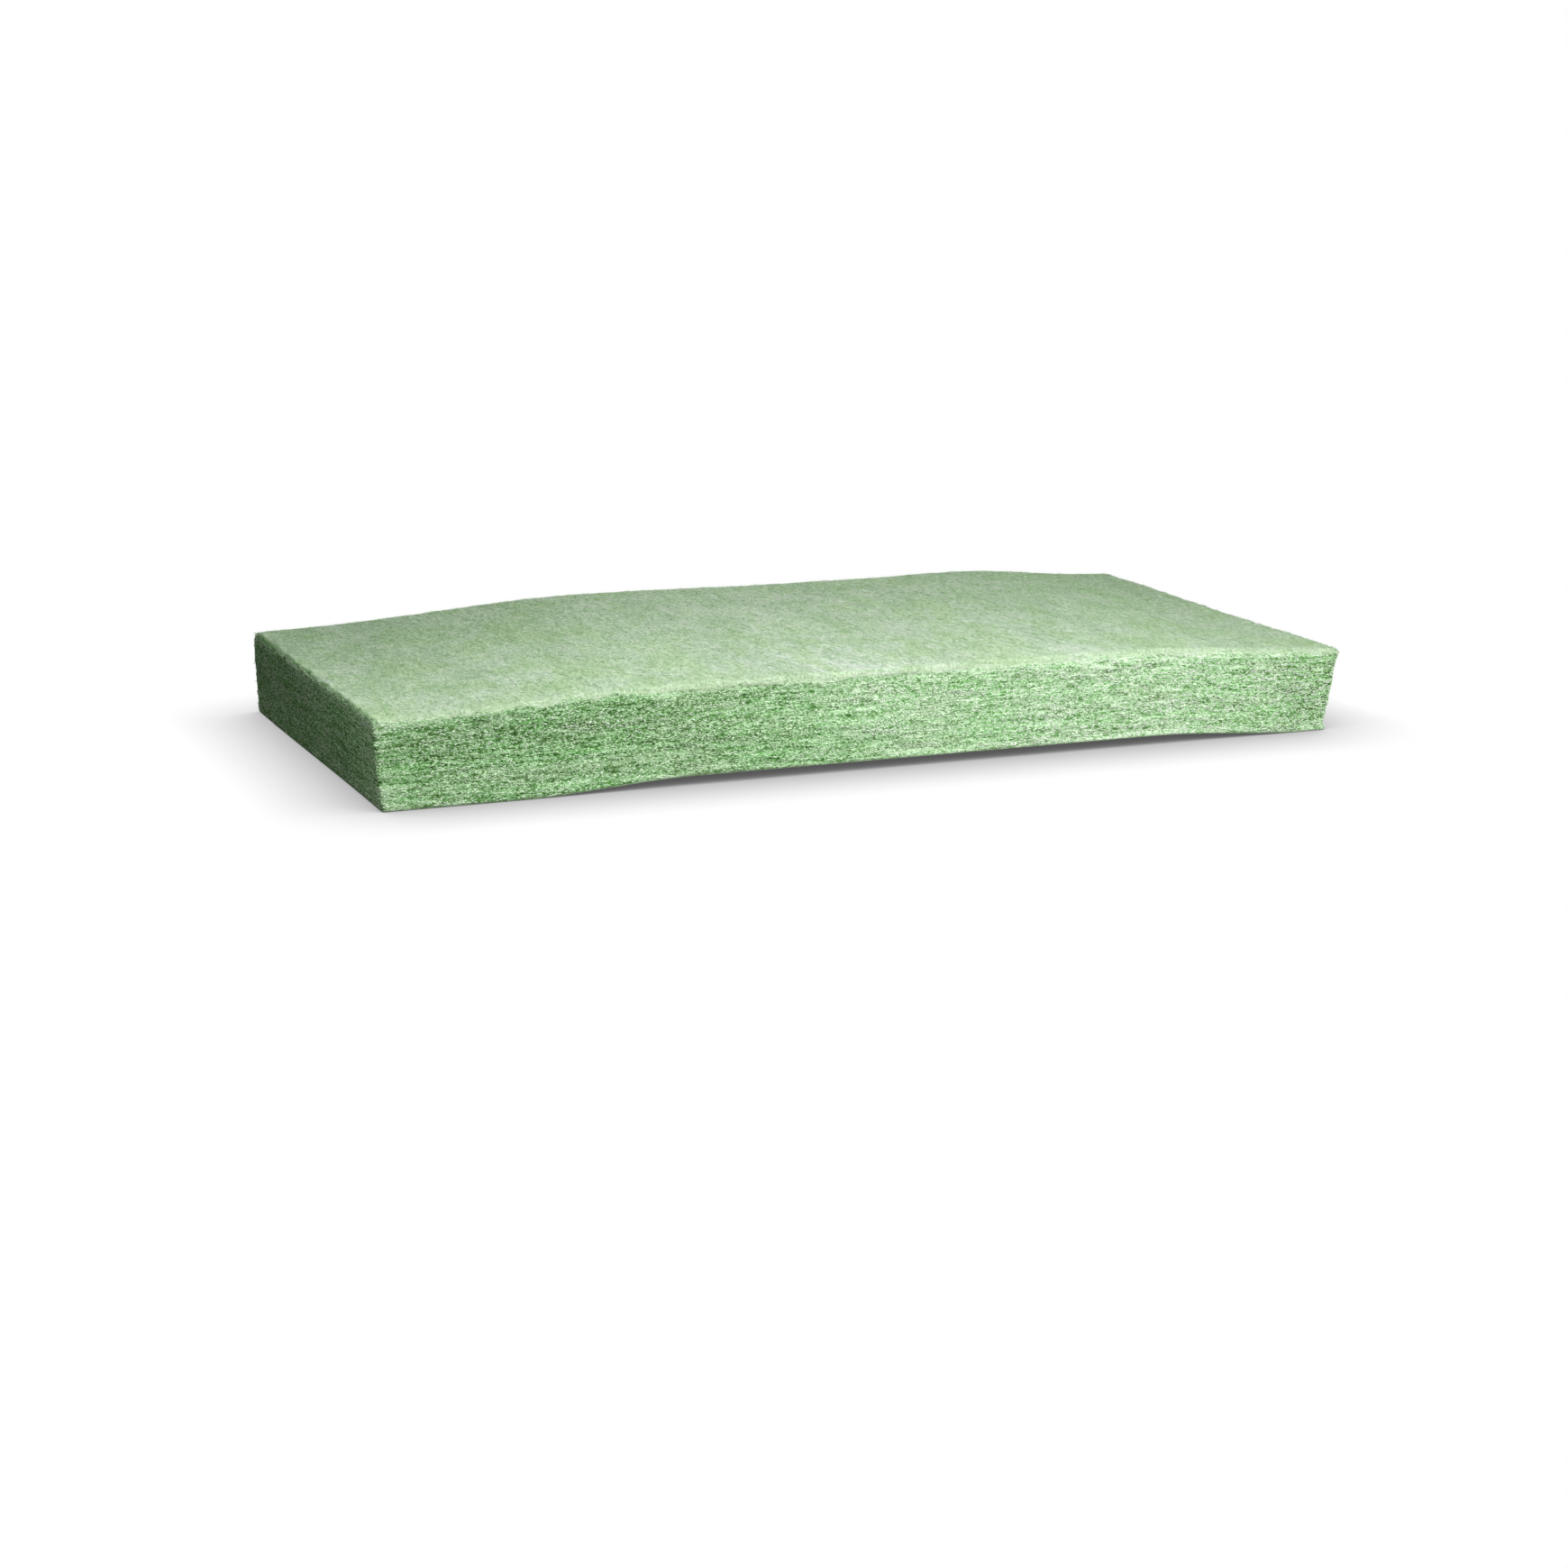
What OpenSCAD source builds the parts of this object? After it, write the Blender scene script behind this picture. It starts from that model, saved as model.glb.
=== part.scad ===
// Polyester insulation batt: one slab of bonded fibre stock, lying flat on its underside.
// The origin is the middle of the underside, with +X along the length and +Z up. Sizes are in mm.
// The slab is an exact prism of its cut faces, trimmed by one waved block that carries the lofted
// top, the rounded top edges and the places where the long edges lift off the floor.

/* [Batt] */
// Length, along X
batt_l = 1160; // [900:10:1400]
// Width, along Y, a friction fit between framing at 600 centres
batt_w = 580; // [360:10:620]
// Thickness at the ends, where no wave lifts the top
batt_t = 99; // [60:1:140]

/* [Cut ends] */
// How far the foot of the left end is cut back under its top
undercut_left = 6; // [0:0.5:15]
// How far the foot of the right end is cut back under its top
undercut_right = 15; // [6:0.5:20]
// How far the bottom skin stands out from the foot of the right end
lip_out = 3; // [1:0.5:5]
// Height of that lip of skin
lip_h = 8; // [4:1:14]

/* [Top waves] */
// Radius of the soft top edges
edge_r = 6; // [4:1:15]
// Rise of the front edge's long arch over the ends
front_rise = 14; // [0:1:25]
// Run of that arch up from the left end
front_run_left = 320; // [200:10:450]
// Run of that arch down to the right end
front_run_right = 280; // [200:10:450]
// Rise of the back edge's arch over the ends
back_rise = 19; // [0:1:25]
// Run of that arch up from the left end
back_run_left = 400; // [200:10:450]
// Run of that arch down to the right end
back_run_right = 250; // [150:10:450]
// Extra rise of the hump on the back edge
hump_rise = 2.5; // [0:0.5:10]
// Distance of that hump from the left end
hump_from_left = 440; // [300:5:700]
// Reach of that hump to each side
hump_reach = 260; // [100:10:300]
// Rise of the right end's back corner
corner_rise = 5.5; // [0:0.5:10]
// Run of that corner's rise along the back edge
corner_run_l = 400; // [200:10:450]
// Run of that corner's rise along the right end
corner_run_w = 480; // [200:10:580]
// Rise of the middle of the width over the straight line from edge to edge
crown = 2; // [0:0.5:6]

/* [Lifted long edges] */
// Lift of the front edge off the floor
front_lift = 10; // [2:0.5:12]
// Distance from the left end to where the front edge starts to lift
front_lift_from_left = 140; // [50:10:300]
// Distance from the right end to where the front edge starts to lift
front_lift_from_right = 20; // [20:10:300]
// Lift of the back edge off the floor
back_lift = 8; // [2:0.5:12]
// Distance from each end to where the back edge starts to lift
back_lift_from_ends = 160; // [50:10:300]
// Length over which a lift grows to its full height
lift_run = 220; // [100:10:350]
// How far each lift reaches in under the batt
lift_depth = 110; // [60:5:150]

/* [Hidden] */

FIBRE_GREEN = [0.62, 0.75, 0.58];

half_l = batt_l / 2;
half_w = batt_w / 2;
// The waved block's rim runs this far past the cut faces, so that the prism alone makes them.
overrun = 4;
// Depth of the waved block below the floor where the batt rests.
seat = 1;
// The prism's plain top, above every wave.
blank_h = batt_t + max(front_rise, back_rise + hump_rise) + corner_rise + crown + edge_r;
// Height above which the ends are upright, just under their rounded edges.
shoulder_z = batt_t - 2 * edge_r;
// Largest spacing of the waved block's grid lines.
grid_step = 46;
// Angles of the facets round a top edge, from the cut face up to the top.
edge_angles = [22.5, 45, 67.5, 90];
// Drop of the block's rim, which carries the lowest of those facets straight on past the cut face.
rim_drop = edge_r + overrun * sin(edge_angles[0]) / (1 - cos(edge_angles[0]));

function smooth(t) = let (u = min(max(t, 0), 1)) u * u * (3 - 2 * u);
function blend(a, b, t) = a + (b - a) * smooth(t);
function hump(x, centre, reach) =
    abs(x - centre) < reach ? (1 + cos(180 * (x - centre) / reach)) / 2 : 0;

// 0 at both ends and 1 between, climbing over each run after a level stretch of each gap.
function arch(x, gap_left, run_left, gap_right, run_right) =
    smooth((x + half_l - gap_left) / run_left) * smooth((half_l - gap_right - x) / run_right);

function front_wave(x) = front_rise * arch(x, 0, front_run_left, 0, front_run_right);
function back_wave(x) = back_rise * arch(x, 0, back_run_left, 0, back_run_right)
    + hump_rise * hump(x, hump_from_left - half_l, hump_reach);

function corner_wave(x, y) = corner_rise
    * (1 - smooth((half_l - x) / corner_run_l)) * (1 - smooth((half_w - y) / corner_run_w));

// How far the soft edge falls at a distance in from a cut face.
function edge_drop(inset) =
    inset < 0 ? rim_drop
    : inset < edge_r ? edge_r - sqrt(edge_r * edge_r - pow(edge_r - inset, 2))
    : 0;

function top_z(x, y) = batt_t
    + blend(front_wave(x), back_wave(x), (y + half_w) / batt_w)
    + crown * cos(90 * y / half_w) * arch(x, 0, front_run_left, 0, front_run_right)
    + corner_wave(x, y)
    - max(edge_drop(half_l - abs(x)), edge_drop(half_w - abs(y)));

// The underside of the waved block: below the floor where the batt rests, above it at a lift.
function under_z(x, y) =
    let (
        front = (front_lift + seat) * smooth((lift_depth - half_w - y) / lift_depth)
            * arch(x, front_lift_from_left, lift_run, front_lift_from_right, lift_run),
        back = (back_lift + seat) * smooth((lift_depth - half_w + y) / lift_depth)
            * arch(x, back_lift_from_ends, lift_run, back_lift_from_ends, lift_run)
    )
    max(front, back) - seat;

// Grid lines from one overrun to the other: close round both edges, evenly spaced between them.
function grid_lines(half) =
    let (
        round_edge = [for (a = edge_angles) half - edge_r * (1 - cos(a))],
        inner = half - edge_r,
        steps = ceil(2 * inner / grid_step)
    )
    concat(
        [-half - overrun],
        [for (p = round_edge) -p],
        [for (i = [1:steps - 1]) -inner + 2 * inner * i / steps],
        [for (i = [len(round_edge) - 1:-1:0]) round_edge[i]],
        [half + overrun]
    );

// A block whose top and underside are the two height fields, drawn on one grid.
module waved_block() {
    xs = grid_lines(half_l);
    ys = grid_lines(half_w);
    nx = len(xs);
    ny = len(ys);
    layer = nx * ny;
    points = concat(
        [for (y = ys) for (x = xs) [x, y, under_z(x, y)]],
        [for (y = ys) for (x = xs) [x, y, top_z(x, y)]]
    );
    // The corners of one grid cell, counted from its lower left point.
    cells = [for (j = [0:ny - 2]) for (i = [0:nx - 2]) j * nx + i];
    under = [for (c = cells) each [[c, c + 1, c + nx + 1], [c, c + nx + 1, c + nx]]];
    top = [for (c = cells) let (t = c + layer)
        each [[t, t + nx + 1, t + 1], [t, t + nx, t + nx + 1]]];
    // The rim, walked once round the underside's border.
    rim = concat(
        [for (i = [0:nx - 2]) i],
        [for (j = [0:ny - 2]) j * nx + nx - 1],
        [for (i = [nx - 1:-1:1]) (ny - 1) * nx + i],
        [for (j = [ny - 1:-1:1]) j * nx]
    );
    walls = [for (k = [0:len(rim) - 1])
        let (a = rim[k], b = rim[(k + 1) % len(rim)])
        each [[a, a + layer, b + layer], [a, b + layer, b]]];
    polyhedron(points, concat(under, top, walls));
}

// The slab as cut: both ends undercut, with the bottom skin left proud as a lip at the right.
module cut_slab() {
    foot_right = half_l - undercut_right;
    rotate([90, 0, 0])
        linear_extrude(height = batt_w, center = true)
            polygon([
                [-half_l + undercut_left, 0],
                [foot_right + lip_out, 0],
                [foot_right + lip_out, lip_h / 2],
                [foot_right, lip_h],
                [half_l, shoulder_z],
                [half_l, blank_h],
                [-half_l, blank_h],
                [-half_l, shoulder_z]
            ]);
}

module batt() {
    color(FIBRE_GREEN)
        intersection() {
            cut_slab();
            waved_block();
        }
}

batt();
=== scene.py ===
# %% [markdown]
# # A polyester insulation batt
# A batt is one slab of stock. Crimped polyester fibre is carded into thin webs, the webs are laid on
# each other, and an oven bonds them into a springy block that is cut to fit between framing. The two
# wide faces are felted skins, and the four narrow faces are cuts, where the open ends of the layers
# show. This lesson builds that slab as one closed mesh, covers its cuts with small modelled fibres,
# and gives each kind of surface its own finish.

# %% Load the frame
import itertools
import math

import bmesh
import bpy
import numpy as np
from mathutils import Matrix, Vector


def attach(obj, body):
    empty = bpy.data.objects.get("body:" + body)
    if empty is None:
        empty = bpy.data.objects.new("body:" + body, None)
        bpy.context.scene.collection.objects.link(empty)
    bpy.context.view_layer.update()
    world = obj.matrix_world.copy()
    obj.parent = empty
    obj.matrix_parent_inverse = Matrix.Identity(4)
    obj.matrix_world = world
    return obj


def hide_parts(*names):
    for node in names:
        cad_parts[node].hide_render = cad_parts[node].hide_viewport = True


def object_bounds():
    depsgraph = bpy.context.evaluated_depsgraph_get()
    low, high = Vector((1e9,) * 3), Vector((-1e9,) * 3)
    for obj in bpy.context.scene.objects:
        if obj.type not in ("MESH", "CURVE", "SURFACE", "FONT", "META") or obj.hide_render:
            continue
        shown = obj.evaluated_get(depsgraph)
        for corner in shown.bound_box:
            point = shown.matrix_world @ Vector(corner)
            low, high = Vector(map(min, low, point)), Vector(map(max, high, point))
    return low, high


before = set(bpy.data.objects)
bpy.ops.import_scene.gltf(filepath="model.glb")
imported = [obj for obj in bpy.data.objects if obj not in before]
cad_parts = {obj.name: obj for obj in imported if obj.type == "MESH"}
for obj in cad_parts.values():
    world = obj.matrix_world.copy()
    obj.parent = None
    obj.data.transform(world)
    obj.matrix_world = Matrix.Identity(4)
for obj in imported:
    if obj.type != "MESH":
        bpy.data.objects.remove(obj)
cad_low, cad_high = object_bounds()
print("solid of the batt, in metres:", tuple(cad_low), tuple(cad_high))

# %% [markdown]
# ## The camera
# A long lens from a little above shows the top as a narrow slant and keeps the long edges nearly
# parallel. The camera stands left of the middle of the long front face and turns right to face it.

# %% Camera
CAMERA_PLACE = (-1.2925, -3.2037, 0.7078)
CAMERA_TURN = 21.88
CAMERA_DIP = 12.83
CAMERA_LENS = 67.3
CAMERA_SENSOR = 36

camera_data = bpy.data.cameras.new("camera")
camera_data.lens = CAMERA_LENS
camera_data.sensor_width = CAMERA_SENSOR
camera = bpy.data.objects.new("camera", camera_data)
camera.location = CAMERA_PLACE
camera.rotation_euler = (math.radians(90 - CAMERA_DIP), 0, math.radians(-CAMERA_TURN))
bpy.context.scene.collection.objects.link(camera)
bpy.context.scene.camera = camera
bpy.context.scene.view_settings.view_transform = "Standard"
print("camera at", CAMERA_PLACE, "with a", CAMERA_LENS, "mm lens")

# %% [markdown]
# ## Sizes
# The length and width come from the solid. The rest are the batt's own measures: how thick it is, how
# its long edges rise and lift, and how its ends are undercut. They are the same numbers as the
# solid's, so the mesh lies where the solid lies.

# %% Sizes of the batt
MM = 0.001


def mm(*sizes):
    """Sizes in millimetres, given in metres."""
    return tuple(size * MM for size in sizes)


BATT_L = cad_high.x - cad_low.x
BATT_W = cad_high.y - cad_low.y
BATT_T = 99 * MM
HALF_L = BATT_L / 2
HALF_W = BATT_W / 2
EDGE_R = 6 * MM
SHOULDER_Z = BATT_T - 2 * EDGE_R

UNDERCUT_LEFT = 6 * MM
UNDERCUT_RIGHT = 15 * MM
LIP_OUT = 3 * MM
LIP_H = 8 * MM

FRONT_RISE = 14 * MM
FRONT_RUNS = mm(320, 280)
BACK_RISE = 19 * MM
BACK_RUNS = mm(400, 250)
HUMP_RISE = 2.5 * MM
HUMP_X = 440 * MM - HALF_L
HUMP_REACH = 260 * MM
CORNER_RISE = 5.5 * MM
CORNER_RUNS = mm(400, 480)
CROWN = 2 * MM

FRONT_LIFT = 10 * MM
FRONT_LIFT_GAPS = mm(140, 20)
BACK_LIFT = 8 * MM
BACK_LIFT_GAPS = mm(160, 160)
LIFT_RUN = 220 * MM
LIFT_DEPTH = 110 * MM
SEAT = 1 * MM
print("batt", round(BATT_L, 4), "by", round(BATT_W, 4), "by", BATT_T)

# %% [markdown]
# ## How the batt lies
# A soft slab never lies quite flat. The mesh and the fibres are first made on a straight slab, where
# each layer is level, and one function then bends every point to where it lies. Because the layers
# bend with the slab, a pattern that is drawn on the straight places follows the waves for free. A
# lattice or a curve modifier could bend the mesh too, but a function also bends the fibres and stays
# exact. It shapes the two ends as well: both lean in towards the foot, the right one is drawn out to a
# tip at the top of its front corner, and the left one was cut askew.


# %% Bending the straight slab
def smooth(t):
    """0 below 0, 1 above 1, and an even climb between them."""
    u = np.clip(t, 0, 1)
    return u * u * (3 - 2 * u)


def climb(along, start, run):
    """0 up to the start, then an even climb that reaches 1 after the run."""
    return smooth((along - start) / run)


def arch(x, gaps, runs):
    """0 at both ends of the batt and 1 between, after a level gap and a run at each end."""
    up = climb(x + HALF_L, gaps[0], runs[0])
    down = smooth((HALF_L - gaps[1] - x) / runs[1])
    return up * down


def rise_of(x, y):
    """How far the top stands above the plain thickness."""
    front = FRONT_RISE * arch(x, (0, 0), FRONT_RUNS)
    hump = (1 + np.cos(np.pi * np.clip((x - HUMP_X) / HUMP_REACH, -1, 1))) / 2
    back = BACK_RISE * arch(x, (0, 0), BACK_RUNS) + HUMP_RISE * hump
    crown = CROWN * np.cos(np.pi / 2 * np.clip(y / HALF_W, -1, 1)) * arch(x, (0, 0), FRONT_RUNS)
    corner = CORNER_RISE * (1 - smooth((HALF_L - x) / CORNER_RUNS[0]))
    corner = corner * (1 - smooth((HALF_W - y) / CORNER_RUNS[1]))
    return front + (back - front) * smooth((y + HALF_W) / BATT_W) + crown + corner


def lift_of(x, y):
    """How far the underside hangs clear of the floor."""
    runs = (LIFT_RUN, LIFT_RUN)
    near_front = smooth((LIFT_DEPTH - HALF_W - y) / LIFT_DEPTH)
    near_back = smooth((LIFT_DEPTH - HALF_W + y) / LIFT_DEPTH)
    front = (FRONT_LIFT + SEAT) * near_front * arch(x, FRONT_LIFT_GAPS, runs)
    back = (BACK_LIFT + SEAT) * near_back * arch(x, BACK_LIFT_GAPS, runs)
    return np.clip(np.maximum(front, back) - SEAT, 0, None)


print("the front rises", round(rise_of(0, -HALF_W) / MM, 1), "mm at its middle")

# %% The two ends, and the whole bend
END_REACH = 70 * MM
TIP_OUT = 4 * MM
TIP_DROP = 2.5 * MM
TIP_REACH = 90 * MM
TIP_FROM = 0.75
SKEW_TOP = 3 * MM
SKEW_FOOT = 6.5 * MM
SKEW_FRONT = 2 * MM
SKEW_STEEP = 3


def tip_share(x, y, up):
    """1 at the top of the front right corner, which is drawn out to a tip, falling to 0 round it."""
    tip = smooth(1 - (HALF_L - x) / END_REACH) * smooth(1 - (HALF_W + y) / TIP_REACH)
    return tip * climb(up, TIP_FROM, 1 - TIP_FROM)


def skew_of(x, y, up):
    """How far the left end stands out: most at its back corner, for the cut ran askew."""
    near = smooth(1 - (x + HALF_L) / END_REACH)
    to_back = smooth(y / BATT_W + 0.5)
    at_front = SKEW_FRONT * smooth(SKEW_STEEP * up)
    at_back = SKEW_FOOT + (SKEW_TOP - SKEW_FOOT) * up
    return near * (at_front + (at_back - at_front) * to_back)


def bent(straight):
    """Points of the straight slab, moved to where the batt lies."""
    x, y, z = straight.T
    up = z / BATT_T
    tip = tip_share(x, y, up)
    height = z + lift_of(x, y) * (1 - up) + rise_of(x, y) * up - TIP_DROP * tip
    left = UNDERCUT_LEFT * np.clip(1 - height / SHOULDER_Z, 0, 1)
    right = np.interp(
        height,
        (LIP_H / 2, LIP_H, SHOULDER_Z),
        (UNDERCUT_RIGHT - LIP_OUT, UNDERCUT_RIGHT, 0),
    )
    near_left = smooth(1 - (x + HALF_L) / END_REACH)
    near_right = smooth(1 - (HALF_L - x) / END_REACH)
    along = x + left * near_left - right * near_right + TIP_OUT * tip - skew_of(x, y, up)
    return np.stack([along, y, height], axis=1)


right_foot = bent(np.array([[HALF_L, 0.0, 0.0]]))[0]
print("the foot of the right end stands", round((HALF_L - right_foot[0]) / MM, 1), "mm in")

# %% [markdown]
# ## A noise to shape by
# Fibre stock is uneven at every scale, so nearly everything below asks for smooth random numbers that
# depend only on a place: the same place always gives the same number, and the batt comes out alike on
# each run. A texture node can't move numpy points, so this is a small noise of our own: random values
# on a lattice, blended smoothly between its points.

# %% Lattice noise
NOISE_TABLE = 65521
NOISE_STEPS = (7919, 104729, 12289)


def wander(points, cell, seed):
    """Smooth noise from -1 to 1 at these points, with swells about one cell (x, y, z) long."""
    values = np.random.default_rng(seed).uniform(-1, 1, NOISE_TABLE)
    spot = points / np.array(cell)
    low = np.floor(spot).astype(np.int64)
    share = smooth(spot - low)
    total = np.zeros(len(points))
    for corner in itertools.product((0, 1), repeat=3):
        key = (low + corner) @ np.array(NOISE_STEPS)
        weight = np.prod(np.where(corner, share, 1 - share), axis=1)
        total += weight * values[key % NOISE_TABLE]
    return total


print("noise at the origin:", wander(np.zeros((1, 3)), mm(1, 1, 1), seed=1))

# %% [markdown]
# ## The slab
# The slab could be a cube with a bevel, but its rows and columns would then be as coarse as its
# corners. Here it grows like a loaf: a fine grid is the top skin, its rim is extruded ring by ring
# round the soft edge and down the cuts, and a second grid closes the bottom. So the cuts get close
# rows, where the layers need them, and the wide skins stay lighter.

# %% The rings from the top skin to the bottom
CELLS_L = 212
CELLS_W = 106
EDGE_RINGS = 4
CUT_ROWS = 44
FOOT_R = 2 * MM
FOOT_RINGS = 2
MERGE_REACH = 0.1 * MM


def ring_profile():
    """How far out and how high each ring under the top skin runs, from the soft edge to the foot."""
    turns = np.linspace(0, np.pi / 2, EDGE_RINGS + 1)[1:]
    edge = [(EDGE_R * math.sin(a), BATT_T - EDGE_R * (1 - math.cos(a))) for a in turns]
    heights = np.linspace(BATT_T - EDGE_R, FOOT_R, CUT_ROWS + 1)[1:]
    cut = [(EDGE_R, z) for z in heights]
    turns = np.linspace(0, np.pi / 2, FOOT_RINGS + 1)[1:]
    foot = [(EDGE_R - FOOT_R * (1 - math.cos(a)), FOOT_R * (1 - math.sin(a))) for a in turns]
    return edge + cut + foot


print("rings under the top skin:", len(ring_profile()))


def skin_grid(bm, out, height):
    """A flat grid of the batt's cells whose rim lies this far out from the top skin's rim."""
    made = bmesh.ops.create_grid(bm, x_segments=CELLS_L, y_segments=CELLS_W, size=1)
    size = (HALF_L - EDGE_R + out, HALF_W - EDGE_R + out, 1)
    bmesh.ops.scale(bm, vec=size, verts=made["verts"])
    bmesh.ops.translate(bm, vec=(0, 0, height), verts=made["verts"])
    return made["verts"]


# %% The closed slab, still straight
def straight_slab():
    """The slab before it is bent, as a bmesh."""
    bm = bmesh.new()
    skin_grid(bm, 0, BATT_T)
    rim = [e for e in bm.edges if e.is_boundary]
    out, height = 0, BATT_T
    for next_out, next_height in ring_profile():
        made = bmesh.ops.extrude_edge_only(bm, edges=rim)["geom"]
        ring = [v for v in made if isinstance(v, bmesh.types.BMVert)]
        wider = (HALF_L - EDGE_R + next_out) / (HALF_L - EDGE_R + out)
        deeper = (HALF_W - EDGE_R + next_out) / (HALF_W - EDGE_R + out)
        bmesh.ops.scale(bm, vec=(wider, deeper, 1), verts=ring)
        bmesh.ops.translate(bm, vec=(0, 0, next_height - height), verts=ring)
        rim = [e for e in made if isinstance(e, bmesh.types.BMEdge)]
        out, height = next_out, next_height
    under = skin_grid(bm, out, height)
    faces = {f for v in under for f in v.link_faces}
    bmesh.ops.reverse_faces(bm, faces=list(faces))
    bmesh.ops.remove_doubles(bm, verts=bm.verts, dist=MERGE_REACH)
    bmesh.ops.recalc_face_normals(bm, faces=bm.faces)
    return bm


print("cells of each skin:", CELLS_L * CELLS_W)

# %% [markdown]
# A knife leaves a crisp corner in wood, but not in fibre: the four upright corners fray and slump. A
# bevel would give them an even machined round, so their vertices are smoothed instead.

# %% Soft upright corners
CORNER_REACH = 4 * MM
CORNER_SOFTNESS = 0.5


def soften_corners(bm):
    """Rounds the four upright corners of the slab."""
    corner = [
        v
        for v in bm.verts
        if abs(v.co.x) > HALF_L - CORNER_REACH and abs(v.co.y) > HALF_W - CORNER_REACH
    ]
    bmesh.ops.smooth_vert(
        bm,
        verts=corner,
        factor=CORNER_SOFTNESS,
        use_axis_x=True,
        use_axis_y=True,
        use_axis_z=False,
    )


slab_bm = straight_slab()
soften_corners(slab_bm)
open_edges = sum(e.is_boundary for e in slab_bm.edges)
print("slab:", len(slab_bm.faces), "faces,", open_edges, "open edges")

# %% [markdown]
# ## Relief
# The cuts aren't flat. Each carded layer ends a little short of or past the next, the blade pulls
# tufts, and whole stretches lean. The skins are calm: soft puckers a hand wide. Relief is a distance
# along the surface's own normal, so one number for each point is enough. It first asks how much of
# a place is skin. The top skin laps over the long cuts, lowest along their middle, and its border is
# frayed, most of all towards the left end.

# %% Where the skin ends and the cut begins
SKIN_WRAP = 5.2 * MM
WRAP_PLACES = mm(0, 180, 420, 700, 900)
WRAP_SHARES = (0.6, 0.95, 1.25, 1.2, 1)
END_WRAP = 0.6 * MM
SKIN_FRAY = 3 * MM
FRAY_LEFT = 1.4
FRAY_EASE = 0.8
FRAY_EASES = mm(150, 600)
END_FRAY = 4 * MM
FRAY_PART = 0.6
SKIN_FADE = 1.5 * MM
FOOT_SKIN = 1.2 * FOOT_R


def skin_share(straight):
    """1 on the two skins, 0 on the open cuts; the top skin laps over the long cuts, hardly the ends."""
    from_left = straight[:, 0] + HALF_L
    at_end = smooth((abs(straight[:, 0]) - HALF_L + 2 * EDGE_R) / EDGE_R)
    wrap = SKIN_WRAP * np.interp(from_left, WRAP_PLACES, WRAP_SHARES)
    wrap += (END_WRAP - wrap) * at_end
    fray = SKIN_FRAY * (FRAY_LEFT - FRAY_EASE * climb(from_left, *FRAY_EASES))
    fray += (END_FRAY - fray) * at_end
    frayed = FRAY_PART * wander(straight, mm(16, 16, 40), seed=11)
    frayed += FRAY_PART * wander(straight, mm(5, 5, 40), seed=12)
    from_top = BATT_T - straight[:, 2]
    near_top = 1 - smooth((from_top - wrap - fray * frayed) / SKIN_FADE)
    near_foot = 1 - smooth(straight[:, 2] / FOOT_SKIN)
    return np.maximum(near_top, near_foot)


middle = np.array([[0.0, -HALF_W, BATT_T / 2]])
print("skin at the middle of the front:", round(skin_share(middle)[0], 2))

# %% The pale rims
RIM_FADE = mm(1, 6)
RIM_EASE = 0.4
RIM_EASES = mm(300, 500)
RIM_LEVEL = 0.95
RIM_MOTTLE = 0.5


def rim_share(straight):
    """1 on the pale rims of the long edges, where the skin wraps over, falling to 0 on the top."""
    inset = HALF_W - abs(straight[:, 1])
    off_ends = smooth((HALF_L - abs(straight[:, 0])) / EDGE_R)
    fainter = 1 - RIM_EASE * climb(straight[:, 0] + HALF_L, *RIM_EASES)
    mottle = RIM_LEVEL + RIM_MOTTLE * wander(straight, mm(14, 14, 14), seed=13)
    return (1 - climb(inset, *RIM_FADE)) * off_ends * fainter * mottle


print("pale rim there:", round(rim_share(middle)[0], 2))

# %% How far a point stands proud of the straight slab
CUT_SWELL = 1.2 * MM
CUT_LAYERS = 0.8 * MM
CUT_TUFTS = 0.4 * MM
SKIN_PUCKER = 0.7 * MM
SKIN_DIMPLE = 0.25 * MM
EDGE_SCALLOP = 0.5 * MM
NEAR_EDGE_REACH = 3 * EDGE_R
TORN_LEFT = 3 * MM
FLOOR_EASE = 8 * MM


def relief_of(straight):
    """The distance along the normal by which each point is moved."""
    swell = CUT_SWELL * wander(straight, mm(90, 90, 45), seed=21)
    layers = CUT_LAYERS * wander(straight, mm(34, 34, 5), seed=22)
    tufts = CUT_TUFTS * wander(straight, mm(9, 9, 4), seed=23)
    pucker = SKIN_PUCKER * wander(straight, mm(85, 130, 60), seed=24)
    dimple = SKIN_DIMPLE * wander(straight, mm(15, 15, 15), seed=25)
    scallop = EDGE_SCALLOP * wander(straight, mm(18, 18, 60), seed=26)
    inset = np.minimum(HALF_L - abs(straight[:, 0]), HALF_W - abs(straight[:, 1]))
    near_edge = 1 - smooth(inset / NEAR_EDGE_REACH)
    torn = TORN_LEFT * wander(straight, mm(12, 12, 60), seed=27)
    from_left_edge = straight[:, 0] + HALF_L + BATT_T - straight[:, 2]
    torn *= 1 - smooth(from_left_edge / NEAR_EDGE_REACH)
    skin = skin_share(straight)
    on_skin = pucker * (1 - near_edge) + dimple + scallop * near_edge
    on_cut = swell + layers + tufts
    from_floor = smooth(straight[:, 2] / FLOOR_EASE)
    return (skin * on_skin + (1 - skin) * on_cut + torn) * from_floor


print("relief there:", round(relief_of(middle)[0] / MM, 2), "mm")
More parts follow.
